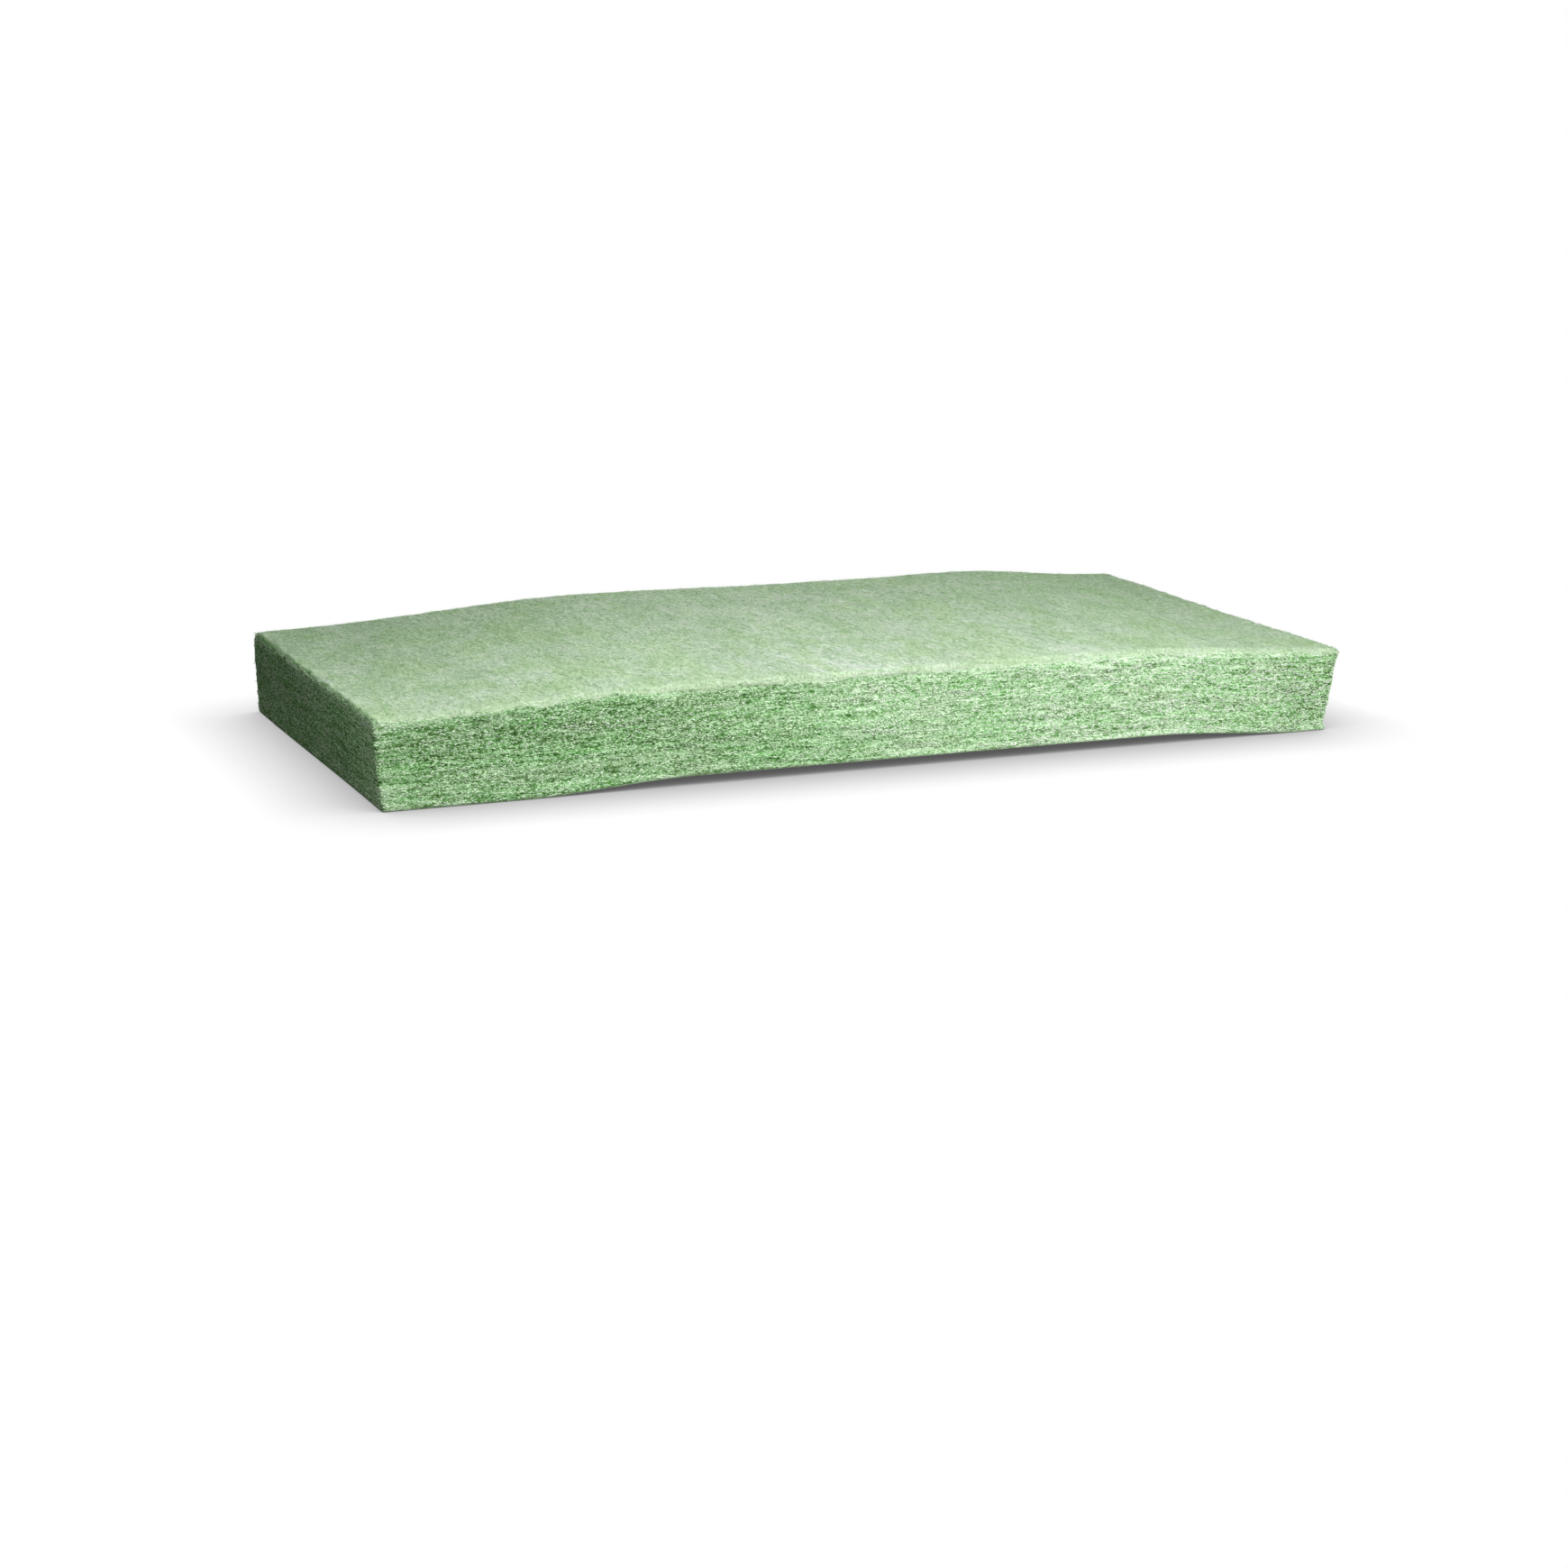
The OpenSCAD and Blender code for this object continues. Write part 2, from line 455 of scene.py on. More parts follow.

# %% [markdown]
# ## Where the cut is dark and where it is pale
# Colour isn't shuffled fibre by fibre. Between the carded layers run slits, a millimetre or two high
# and a few centimetres long, where few fibres reach the cut and the dark gap shows; the fibres there
# are darkened with painted shade. Near the skins, on the ends and at the left corners the slits join
# into long lines. The long cuts are a deeper green towards both ends, and towards the left painted
# shade of the light's fall-off deepens them further; yet they are pale again close to the left corners,
# and they are palest just under the skin and, to the right, at the foot. The left end gets painted
# shade, but for its front corner. So all of this is worked out from the place, as the relief is, and
# both the slab and its fibres read it.

# %% Level of the cut
CUT_LEVEL = 1.05
LEVEL_DRIFT = 0.05
# Deeper green and painted shade of the light's fall-off towards the left of the long cuts.
DEEPER_AND_SHADED_LEFT = 0.18
LEFT_FADE = mm(260, 420)
LEFT_UPPER = 60 * MM
LEFT_AT_FOOT = 0.5
DEEPER_RIGHT = 0.19
RIGHT_CLIMB = mm(900, 260)
DEEPER_CORNER = 0.1
DEEP_CORNER_WIDTH = 14 * MM
DEEP_CORNER_CLIMB = 12 * MM
PALER_CORNER = 0.12
PALE_CORNER_FADE = mm(5, 50)
# Painted shade on the left end, all but its front corner.
PAINTED_SHADE_LEFT_END = 0.17
LIT_CORNER_FROM = 0.5
PALER_SKINS = 0.18
PALE_SKINS_REACH = 12 * MM
FOOT_CLIMB = mm(450, 400)
FOOT_GAIN = 1.3
FOOT_LOSS = 0.2
END_FADE = 3 * MM
END_FADE_RUN = 2.5 * MM


def end_share(straight):
    """1 on the two ends, and 0 on the long cuts."""
    return smooth((abs(straight[:, 0]) - HALF_L + END_FADE) / END_FADE_RUN)


def cut_level(straight):
    """How pale the cut is over a hand's width or more: about 1, and less where deeper or in painted
    shade.
    """
    from_left = straight[:, 0] + HALF_L
    upper = smooth(straight[:, 2] / LEFT_UPPER)
    # towards the left the cut is partly a deeper green and partly painted shade
    left = DEEPER_AND_SHADED_LEFT * (LEFT_AT_FOOT + (1 - LEFT_AT_FOOT) * upper)
    left *= 1 - climb(from_left, *LEFT_FADE)
    right = DEEPER_RIGHT * climb(from_left, *RIGHT_CLIMB)
    right += DEEPER_CORNER * smooth((from_left - BATT_L + DEEP_CORNER_WIDTH) / DEEP_CORNER_CLIMB)
    right -= PALER_CORNER * (1 - climb(from_left, *PALE_CORNER_FADE))
    right *= 1 - end_share(straight)
    drift_and_end_shade = LEVEL_DRIFT * wander(straight, mm(150, 150, 30), seed=34)
    # Painted shade: the left end is darkened, easing off towards its front corner.
    lit = climb(-straight[:, 1] / HALF_W, LIT_CORNER_FROM, 1 - LIT_CORNER_FROM)
    in_shade = (straight[:, 0] < 0) * (1 - lit)
    drift_and_end_shade -= PAINTED_SHADE_LEFT_END * end_share(straight) * in_shade
    near_top = 1 - smooth((BATT_T - SKIN_WRAP - straight[:, 2]) / PALE_SKINS_REACH)
    near_foot = 1 - smooth(straight[:, 2] / PALE_SKINS_REACH)
    near_foot *= FOOT_GAIN * climb(from_left, *FOOT_CLIMB) - FOOT_LOSS
    return CUT_LEVEL - left - right + drift_and_end_shade + PALER_SKINS * (near_top + near_foot)


print("level there:", round(cut_level(middle)[0], 2))

# %% Slits and lines of the cut
LINE_REACH = 30 * MM
LINE_CLIMB = (0.2, 0.4)
LINE_PART = 0.7
LINE_ANYWHERE = 0.3
CORNER_LINE_FADE = mm(10, 50)
SLIT_PARTS = (0.4, 0.3, 0.8)
SLIT_AT_END = 0.06
SLIT_CLIMB = (0.02, 0.5)


def near_skins(straight, reach):
    """1 at the top and bottom of a cut, falling to 0 at this distance from them."""
    from_skin = np.minimum(BATT_T - SKIN_WRAP - straight[:, 2], straight[:, 2])
    return 1 - smooth(from_skin / reach)


def slit_of(straight):
    """How deep a place lies in a slit between two layers, from 0 to 1."""
    long = wander(straight, mm(48, 48, 1.7), seed=31)
    short = wander(straight, mm(7, 7, 1.7), seed=32)
    fleck = wander(straight, mm(2.0, 2.0, 1.7), seed=33)
    line = wander(straight, mm(110, 110, 1.7), seed=35)
    at_end = end_share(straight)
    at_corner = 1 - climb(straight[:, 0] + HALF_L, *CORNER_LINE_FADE)
    near_skin = near_skins(straight, LINE_REACH)
    elsewhere = LINE_ANYWHERE + (1 - LINE_ANYWHERE) * at_corner
    lined = climb(line, *LINE_CLIMB) * np.maximum(np.maximum(near_skin, at_end), elsewhere)
    mixed = SLIT_PARTS[0] * long + SLIT_PARTS[1] * short + SLIT_PARTS[2] * fleck
    broken = climb(mixed + SLIT_AT_END * at_end, *SLIT_CLIMB)
    return np.clip(broken + LINE_PART * lined, 0, 1)


print("depth of slit there:", round(slit_of(middle)[0], 2))


# %% The finished slab
def mesh_from(name, bm):
    """Makes the bmesh an object in the scene."""
    mesh = bpy.data.meshes.new(name)
    bm.to_mesh(mesh)
    bm.free()
    mesh.shade_smooth()
    made = bpy.data.objects.new(name, mesh)
    bpy.context.scene.collection.objects.link(made)
    return made


def store(mesh, name, kind, values):
    """Keeps one value for each vertex under a name that materials can read."""
    field = "vector" if kind == "FLOAT_VECTOR" else "value"
    attribute = mesh.attributes.new(name, kind, "POINT")
    attribute.data.foreach_set(field, np.asarray(values, np.float32).ravel())


def read_vectors(items, field):
    """A vector field of many mesh items as rows of three numbers."""
    found = np.empty(len(items) * 3, np.float32)
    items.foreach_get(field, found)
    return found.reshape(-1, 3).astype(float)


slab = mesh_from("slab", slab_bm)
straight_places = read_vectors(slab.data.vertices, "co")
straight_normals = read_vectors(slab.data.vertices, "normal")
store(slab.data, "laid", "FLOAT_VECTOR", straight_places)
store(slab.data, "skin", "FLOAT", skin_share(straight_places))
store(slab.data, "rim", "FLOAT", rim_share(straight_places))
store(slab.data, "level", "FLOAT", cut_level(straight_places))
moved = straight_places + straight_normals * relief_of(straight_places)[:, None]
slab.data.vertices.foreach_set("co", bent(moved).astype(np.float32).ravel())
slab.data.update()
print("slab:", len(slab.data.vertices), "vertices")

# %% [markdown]
# ## Fibres
# What the eye reads as a cut batt is thousands of fibre ends: pale where they catch light, dark where
# the gap behind them shows. Bump can fake that from afar, but the outline and the close look need
# real ones. A hair system would be the obvious way, yet it exports as nothing. So each fibre is a
# small closed spindle: a sphere of three sides, drawn long. Arrays place copies of it, each with its
# own length, crimp and lean, and the copies are joined into a few meshes.

# %% The spindle that every fibre copies
def spindle(rings):
    """A three-sided sphere along X, 1 long and 1 thick, as arrays of points and triangles."""
    bm = bmesh.new()
    bmesh.ops.create_uvsphere(bm, u_segments=3, v_segments=rings + 1, radius=0.5)
    quarter_turn = ((0, 0, 1), (0, 1, 0), (-1, 0, 0))
    bmesh.ops.triangulate(bm, faces=bm.faces)
    points = np.array([v.co for v in bm.verts]) @ np.array(quarter_turn).T
    triangles = np.array([[v.index for v in f.verts] for f in bm.faces])
    bm.free()
    return points, triangles


TUFT = spindle(1)
STRAND = spindle(3)
print("tuft:", len(TUFT[1]), "triangles; strand:", len(STRAND[1]), "triangles")


# %% Copies of a spindle, joined
def unit(vectors):
    """The same directions, each 1 long."""
    return vectors / np.linalg.norm(vectors, axis=1, keepdims=True)


FIBRE_FLAT = 0.6


def spindle_copies(shape, centres, along, out, sizes, rng):
    """Points and triangles of a spindle for each centre; sizes limit its length, width and crimp."""
    points, triangles = shape
    length, thick, crimp = (rng.uniform(*limits, len(centres)) for limits in sizes)
    along = unit(along)
    beside = unit(np.cross(along, out))
    upright = np.cross(beside, along)
    t, a, b = points.T
    phase = rng.uniform(0, 2 * np.pi, (len(centres), 1))
    bow = crimp[:, None] * np.sin(2 * np.pi * t + phase)
    bow_side = crimp[:, None] * np.cos(3 * np.pi * t + phase)
    places = (
        centres[:, None]
        + along[:, None] * (length[:, None] * t)[..., None]
        + beside[:, None] * (thick[:, None] * a + bow_side)[..., None]
        + upright[:, None] * (thick[:, None] * b * FIBRE_FLAT + bow)[..., None]
    )
    first = np.arange(len(centres))[:, None, None] * len(points)
    return places.reshape(-1, 3), (triangles + first).reshape(-1, 3)


print("a fibre is", FIBRE_FLAT, "times as deep as it is wide")

# %% A piece made of many spindles
BAKE_NUDGE = 0.0015
SHARE_LIMITS = (0.01, 0.99)


def fibre_piece(name, groups):
    """Joins groups of (points, triangles, tone, tint) into one piece, bent as the batt lies."""
    places, faces, tones, tints, start = [], [], [], [], 0
    for points, triangles, tone, tint in groups:
        each = len(points) // len(tone)
        places.append(points)
        faces.append(triangles + start)
        tones.append(np.repeat(tone, each))
        tints.append(np.repeat(tint, each))
        start += len(points)
    mesh = bpy.data.meshes.new(name)
    mesh.from_pydata(bent(np.concatenate(places)).tolist(), [], np.concatenate(faces).tolist())
    mesh.shade_smooth()
    tone = np.clip(np.concatenate(tones), *SHARE_LIMITS)
    tint = np.clip(np.concatenate(tints), *SHARE_LIMITS)
    store(mesh, "tone", "FLOAT", tone)
    store(mesh, "tint", "FLOAT", tint)
    spread = np.random.default_rng(seed=5).uniform(-BAKE_NUDGE, BAKE_NUDGE, (len(tone), 2))
    corners = np.empty(len(mesh.loops), np.int32)
    mesh.loops.foreach_get("vertex_index", corners)
    on_map = (np.stack([tone, tint], axis=1) + spread)[corners]
    mesh.uv_layers.new(name="OFBake").uv.foreach_set("vector", on_map.astype(np.float32).ravel())
    piece = bpy.data.objects.new(name, mesh)
    bpy.context.scene.collection.objects.link(piece)
    print(name + ":", len(mesh.polygons), "triangles")
    return piece


# %% [markdown]
# ### Fibres on the cuts
# Most lie level along their layer, a few stand out of the cut or loop across it. Short tufts make the
# fine speckle and longer strands the streaks. They sit on the same relief as the slab. Each has a tone
# (dark to pale) and a tint (fresh green to grey), mostly from its place and a little from chance. The
# batt is freshest at the left, above all at the foot, and greyer and calmer towards the right.

# %% Tone of a fibre on a cut
TONE_LIFT = 0.32
TONE_CHANCE = 0.34
CHANCE_LEFT = 1.1
CHANCE_EASE = 0.35
CHANCE_EASES = mm(200, 450)
CHANCE_END_EASE = 0.3
CHANCE_FOOT_EASE = 0.25
# Fibres in the slits are darkened: painted shade of the gap between layers.
PAINTED_SLIT_SHADE = 0.62
SLIT_END_EASE = 0.1
SLIT_FOOT_EASE = 0.15
CALM_FOOT_FADE = mm(5, 20)


def fibre_tone(straight, rng):
    """How pale a fibre on a cut is, from 0 to 1."""
    at_foot = 1 - climb(straight[:, 2], *CALM_FOOT_FADE)
    calmer = CHANCE_LEFT - CHANCE_EASE * climb(straight[:, 0] + HALF_L, *CHANCE_EASES)
    calmer *= (1 - CHANCE_END_EASE * end_share(straight)) * (1 - CHANCE_FOOT_EASE * at_foot)
    # painted shade of the slit, less on the ends and at the foot
    slit_shade = PAINTED_SLIT_SHADE - SLIT_END_EASE * end_share(straight) - SLIT_FOOT_EASE * at_foot
    chance = calmer * rng.normal(0, TONE_CHANCE, len(straight))
    return cut_level(straight) + TONE_LIFT - slit_shade * slit_of(straight) + chance


tone_there = fibre_tone(middle, np.random.default_rng(seed=1))[0]
print("tone of a fibre at the middle of the front:", round(tone_there, 2))

# %% Tint of a fibre on a cut
TINT_LEVEL = 0.12
GREYER_RIGHT = 0.62
GREYER_CLIMB = mm(350, 500)
GREYER_RIGHT_END = 0.12
FRESHER_FOOT = 0.25
FRESH_FOOT_REACH = 50 * MM
FRESH_FOOT_FADE = mm(450, 250)
TINT_PATCH = 0.46
TINT_STREAK = 0.36
TINT_CHANCE = 0.1


def fibre_tint(straight, rng):
    """How grey a fibre on a cut is, from 0 for fresh green to 1 for grey."""
    patch = wander(straight, mm(95, 95, 17), seed=41)
    streak = wander(straight, mm(40, 40, 4), seed=42)
    from_left = straight[:, 0] + HALF_L
    greyer = GREYER_RIGHT * climb(from_left, *GREYER_CLIMB)
    greyer += GREYER_RIGHT_END * climb(from_left, *RIGHT_CLIMB)
    at_foot = 1 - smooth(straight[:, 2] / FRESH_FOOT_REACH)
    greyer -= FRESHER_FOOT * at_foot * (1 - climb(from_left, *FRESH_FOOT_FADE))
    chance = rng.normal(0, TINT_CHANCE, len(straight))
    return TINT_LEVEL + greyer + TINT_PATCH * patch + TINT_STREAK * streak + chance


tint_there = fibre_tint(middle, np.random.default_rng(seed=1))[0]
print("tint of a fibre there:", round(tint_there, 2))

# %% Scattering over one cut
TOP_GAP = 1.5 * MM
FLOOR_GAP = 2.5 * MM
CORNER_GAP = 0.3 * MM
CENTRE_GAP = 1 * MM
SLIT_BARE = 0.75
SKIN_LIMIT = 0.4
TUFT_PROUD = (-0.3, 0.4)
LEAN_UP = 0.2
LEAN_OUT = 0.12


def cut_points(along, height, side):
    """Points of the straight slab on one cut: side is (axis, sign), with axis 0 for an end."""
    axis, sign = side
    points = np.empty((len(along), 3))
    points[:, axis] = sign * (HALF_L, HALF_W)[axis]
    points[:, 1 - axis] = along
    points[:, 2] = height
    return points


def fibre_places(side, count, rng):
    """Places for fibres on one cut: none where skin covers it, and few in the slits."""
    axis, _ = side
    reach = (HALF_W, HALF_L)[axis] - CENTRE_GAP
    tries = 2 * count
    along = rng.uniform(-reach, reach, tries)
    height = rng.uniform(FLOOR_GAP, BATT_T - TOP_GAP, tries)
    base = cut_points(along, height, side)
    kept = rng.uniform(0, 1, tries) > SLIT_BARE * slit_of(base)
    kept &= skin_share(base) < SKIN_LIMIT
    return base[np.flatnonzero(kept)[:count]]


def cut_fibres(side, count, shape, sizes, seed):
    """One group of fibres over a cut: (points, triangles, tone, tint)."""
    axis, sign = side
    rng = np.random.default_rng(seed)
    base = fibre_places(side, count, rng)
    out = np.zeros((count, 3))
    out[:, axis] = sign
    proud = relief_of(base) + rng.uniform(*TUFT_PROUD, count) * MM
    run = np.zeros((count, 3))
    run[:, 1 - axis] = 1
    run[:, 2] += rng.normal(0, LEAN_UP, count)
    run += out * rng.normal(0, LEAN_OUT, count)[:, None]
    centres = base + out * proud[:, None]
    points, triangles = spindle_copies(shape, centres, run, out, sizes, rng)
    flush = (HALF_W, HALF_L)[axis] - CORNER_GAP
    points[:, 1 - axis] = np.clip(points[:, 1 - axis], -flush, flush)
    points[:, 2] = np.maximum(points[:, 2], 0)
    return points, triangles, fibre_tone(base, rng), fibre_tint(base, rng)


print("fibres of a cut are centred at least", round(FLOOR_GAP / MM, 1), "mm above its foot")

# %% Fibres of the four cuts
TUFT_SIZES = mm(1.8, 4.6), mm(0.8, 1.6), mm(0, 0.1)
STRAND_SIZES = mm(8, 20), mm(0.7, 1.1), mm(0.1, 0.55)
FRONT, BACK, LEFT, RIGHT = (1, -1), (1, 1), (0, -1), (0, 1)
LONG_CUT_COUNTS = (28500, 1200)
END_COUNTS = (13200, 900)


def cut_cover(side, counts, seed):
    """Tufts and strands over one cut."""
    tufts, strands = counts
    return [
        cut_fibres(side, tufts, TUFT, TUFT_SIZES, seed),
        cut_fibres(side, strands, STRAND, STRAND_SIZES, seed + 1),
    ]


fibre_pieces = [
    fibre_piece("front_fibres", cut_cover(FRONT, LONG_CUT_COUNTS, seed=101)),
    fibre_piece("back_fibres", cut_cover(BACK, LONG_CUT_COUNTS, seed=111)),
    fibre_piece("left_end_fibres", cut_cover(LEFT, END_COUNTS, seed=121)),
    fibre_piece("right_end_fibres", cut_cover(RIGHT, END_COUNTS, seed=131)),
]

# %% [markdown]
# ### Fuzz on the edges
# Where the skin wraps over, its fibres end in a pale fuzz that softens the outline. It stands a few
# millimetres proud at most, so it is short, thin and splayed between outward and upward.

# %% Fuzz along the rim of the top skin
FUZZ_SIZES = mm(2.5, 7), mm(0.3, 0.6), mm(0.05, 0.4)
FUZZ_TURNS = (0.15, 1.0)
FUZZ_DROP = 3 * MM
FUZZ_LOWEST = 12 * MM
DROP_TURN = 1.2
FUZZ_SPLAY = 1.8
FUZZ_OUT = (-0.2, 0.8)
FUZZ_PROUD = (-0.2, 0.5)
FUZZ_TWIST = 0.01
END_FUZZ_TONE = 0.5
LONG_FUZZ_TONE = 0.86
FUZZ_PATCH = 0.15
FUZZ_CHANCE = 0.16
FUZZ_TINT = 0.45
TINT_MOTTLE = 0.2


def rim_fuzz(side, count, seed):
    """Short pale fibres over the soft top edge of one cut."""
    axis, sign = side
    rng = np.random.default_rng(seed)
    reach = (HALF_W, HALF_L)[axis] - EDGE_R / 2
    along = rng.uniform(-reach, reach, count)
    turn = rng.uniform(*FUZZ_TURNS, count) * np.pi / 2
    down = np.clip(rng.exponential(FUZZ_DROP, count), 0, FUZZ_LOWEST) * (turn > DROP_TURN)
    flat_out = (HALF_L, HALF_W)[axis] - EDGE_R
    base = cut_points(along, BATT_T - EDGE_R * (1 - np.cos(turn)) - down, side)
    base[:, axis] = sign * (flat_out + EDGE_R * np.sin(turn))
    out = np.zeros((count, 3))
    out[:, axis] = sign * np.sin(turn)
    out[:, 2] = np.cos(turn)
    run = rng.normal(0, 1, (count, 3))
    run[:, 1 - axis] *= FUZZ_SPLAY
    run += out * rng.uniform(*FUZZ_OUT, count)[:, None]
    proud = relief_of(base) + rng.uniform(*FUZZ_PROUD, count) * MM
    centres = base + out * proud[:, None]
    points, triangles = spindle_copies(TUFT, centres, run, out + FUZZ_TWIST, FUZZ_SIZES, rng)
    tone = (END_FUZZ_TONE, LONG_FUZZ_TONE)[axis]
    tone = tone + FUZZ_PATCH * wander(base, mm(12, 12, 12), seed=51)
    tone += rng.normal(0, FUZZ_CHANCE, count)
    tint = FUZZ_TINT + TINT_MOTTLE * wander(base, mm(60, 60, 60), seed=52)
    tint += rng.normal(0, TINT_CHANCE, count)
    return points, triangles, tone, tint


LONG_FUZZ = 5200
END_FUZZ = 2600
fuzz_groups = [
    rim_fuzz(FRONT, LONG_FUZZ, seed=201),
    rim_fuzz(BACK, LONG_FUZZ, seed=202),
    rim_fuzz(LEFT, END_FUZZ, seed=203),
    rim_fuzz(RIGHT, END_FUZZ, seed=204),
]
fibre_pieces.append(fibre_piece("rim_fuzz", fuzz_groups))

# %% [markdown]
# ### Loose fibres on the top
# The felted top isn't a printed sheet either: its fibres lie mostly across the width, and loose ones
# cross them at all angles and catch the light.

# %% Fibres lying on the top skin
HAIR_SIZES = mm(6, 16), mm(0.4, 0.8), mm(0, 0.1)
HAIR_LIFTS = mm(0, 0.2)
HAIR_COUNT = 24000
HAIR_TURN = 0.1
HAIR_SPREAD = 0.6
HAIR_LEAN = 0.03
HAIR_TONE = 0.76
HAIR_PATCH = 0.06
HAIR_TINT = 0.4
HAIR_CHANCE = 0.12


def top_hairs(count, seed):
    """One group of fibres that lie on the top skin."""
    rng = np.random.default_rng(seed)
    base = np.empty((count, 3))
    base[:, 0] = rng.uniform(-1, 1, count) * (HALF_L - 2 * EDGE_R)
    base[:, 1] = rng.uniform(-1, 1, count) * (HALF_W - 1.5 * EDGE_R)
    base[:, 2] = BATT_T
    turn = rng.normal(HAIR_TURN, HAIR_SPREAD, count)
    run = np.stack([np.sin(turn), np.cos(turn), rng.normal(0, HAIR_LEAN, count)], axis=1)
    out = np.broadcast_to([0.0, 0.0, 1.0], (count, 3))
    proud = relief_of(base) + rng.uniform(*HAIR_LIFTS, count)
    centres = base + out * proud[:, None]
    points, triangles = spindle_copies(TUFT, centres, run, out, HAIR_SIZES, rng)
    tone = HAIR_TONE + HAIR_PATCH * wander(base, mm(30, 60, 30), seed=61)
    tone += rng.normal(0, HAIR_CHANCE, count)
    tint = HAIR_TINT + TINT_MOTTLE * wander(base, mm(60, 60, 60), seed=62)
    tint += rng.normal(0, HAIR_CHANCE, count)
    return points, triangles, tone, tint


fibre_pieces.append(fibre_piece("top_hairs", [top_hairs(HAIR_COUNT, seed=301)]))

# %% [markdown]
# ## Finishes
# One material covers the slab: it mixes the felted skin and the open cut by where a point lies. Both
# read the straight places that were stored before bending, so bands and layers follow the waves. The
# fibres have a simple material of their own, in which tone and tint pick the colour.

# %% Colours
def screen_colour(red, green, blue):
    """A colour given as it looks on a screen, from 0 to 255, in the linear numbers a shader takes."""
    parts = np.array([red, green, blue]) / 255
    linear = np.where(parts <= 0.04045, parts / 12.92, ((parts + 0.055) / 1.055) ** 2.4)
    return (*linear.tolist(), 1)


FRESH_STOPS = (
    (0.0, screen_colour(30, 78, 18)),
    (0.35, screen_colour(92, 155, 72)),
    (0.7, screen_colour(166, 221, 154)),
    (1.0, screen_colour(231, 255, 220)),
)
GREY_STOPS = (
    (0.0, screen_colour(56, 70, 42)),
    (0.35, screen_colour(118, 139, 99)),
    (0.7, screen_colour(184, 208, 174)),
    (1.0, screen_colour(244, 252, 238)),
)
print("colour of a fresh fibre of middling tone:", FRESH_STOPS[1][1])


# %% Small helpers for node trees
def feed(tree, socket, value):
    """Sets an input to a number or a colour, or joins it to another node's output."""
    if isinstance(value, bpy.types.NodeSocket):
        tree.links.new(value, socket)
    else:
        socket.default_value = value


def add_node(tree, kind, **sockets):
    """A new node with some of its inputs fed, named with _ for each space."""
    made = tree.nodes.new(kind)
    for name, value in sockets.items():
        feed(tree, made.inputs[name.replace("_", " ")], value)
    return made


def read_attribute(tree, name, output):
    """The output of an attribute stored on the mesh."""
    made = tree.nodes.new("ShaderNodeAttribute")
    made.attribute_name = name
    return made.outputs[output]


def ramp(tree, share, stops):
    """A colour ramp through (place, colour) stops."""
    made = add_node(tree, "ShaderNodeValToRGB", Fac=share)
    band = made.color_ramp
    while len(band.elements) < len(stops):
        band.elements.new(0.5)
    for element, (place, colour) in zip(band.elements, stops, strict=True):
        element.position = place
        element.color = colour
    return made.outputs["Color"]


MIX_SHARE, MIX_FIRST, MIX_SECOND = 0, 6, 7
MIX_RESULT = 2


def mix(tree, share, first, second, blend="MIX"):
    """A mix of two colours."""
    made = tree.nodes.new("ShaderNodeMix")
    made.data_type = "RGBA"
    made.blend_type = blend
    for index, value in ((MIX_SHARE, share), (MIX_FIRST, first), (MIX_SECOND, second)):
        feed(tree, made.inputs[index], value)
    return made.outputs[MIX_RESULT]


def maths(tree, operation, *values, clamp=False):
    """One step of arithmetic on numbers or outputs."""
    made = tree.nodes.new("ShaderNodeMath")
    made.operation = operation
    made.use_clamp = clamp
    for socket, value in zip(made.inputs, values, strict=False):
        feed(tree, socket, value)
    return made.outputs[0]


# %% Noise, ranges and a dull material
def swells(tree, places, cell, detail=2.0, rough=0.5, warp=0.0):
    """Noise on these places whose swells are about one cell (x, y, z) long."""
    sized = add_node(tree, "ShaderNodeMapping", Vector=places)
    sized.inputs["Scale"].default_value = [1 / c for c in cell]
    made = add_node(
        tree,
        "ShaderNodeTexNoise",
        Vector=sized.outputs[0],
        Scale=1.0,
        Detail=detail,
        Roughness=rough,
        Distortion=warp,
    )
    return made.outputs["Fac"]


def stretch(tree, value, low, high, to_low=0.0, to_high=1.0):
    """Maps a value from one range to another, held inside it."""
    made = add_node(
        tree,
        "ShaderNodeMapRange",
        Value=value,
        From_Min=low,
        From_Max=high,
        To_Min=to_low,
        To_Max=to_high,
    )
    return made.outputs[0]


DULL_SHINE = 0.12


def plain_material(name):
    """A dull material with nodes, its tree and its main shader."""
    made = bpy.data.materials.new(name)
    made.use_nodes = True
    tree = made.node_tree
    shader = tree.nodes["Principled BSDF"]
    shader.inputs["Specular IOR Level"].default_value = DULL_SHINE
    return made, tree, shader


# %% [markdown]
# ### The fibre finish
# Bonded polyester is dull: high roughness, hardly any shine. Tone runs along two ramps, one fresh
# green and one grey green, and tint mixes them.

# %% Fibre material
FIBRE_ROUGH = 0.85


def fibre_material():
    """The finish of the fibres on the cuts and edges."""
    made, tree, shader = plain_material("cut_fibre")
    tone = read_attribute(tree, "tone", "Fac")
    tint = read_attribute(tree, "tint", "Fac")
    fresh = ramp(tree, tone, FRESH_STOPS)
    grey = ramp(tree, tone, GREY_STOPS)
    tree.links.new(mix(tree, tint, fresh, grey), shader.inputs["Base Color"])
    shader.inputs["Roughness"].default_value = FIBRE_ROUGH
    return made


fibre_finish = fibre_material()
print("nodes in the fibres' finish:", len(fibre_finish.node_tree.nodes))

# %% [markdown]
# ### The open cut
# Between the fibres one looks into the batt, where shade falls, so its colour carries painted shade.
# The same two ramps give its colour, at a lower tone, with streaks along the layers and flecks the size
# of the tufts.

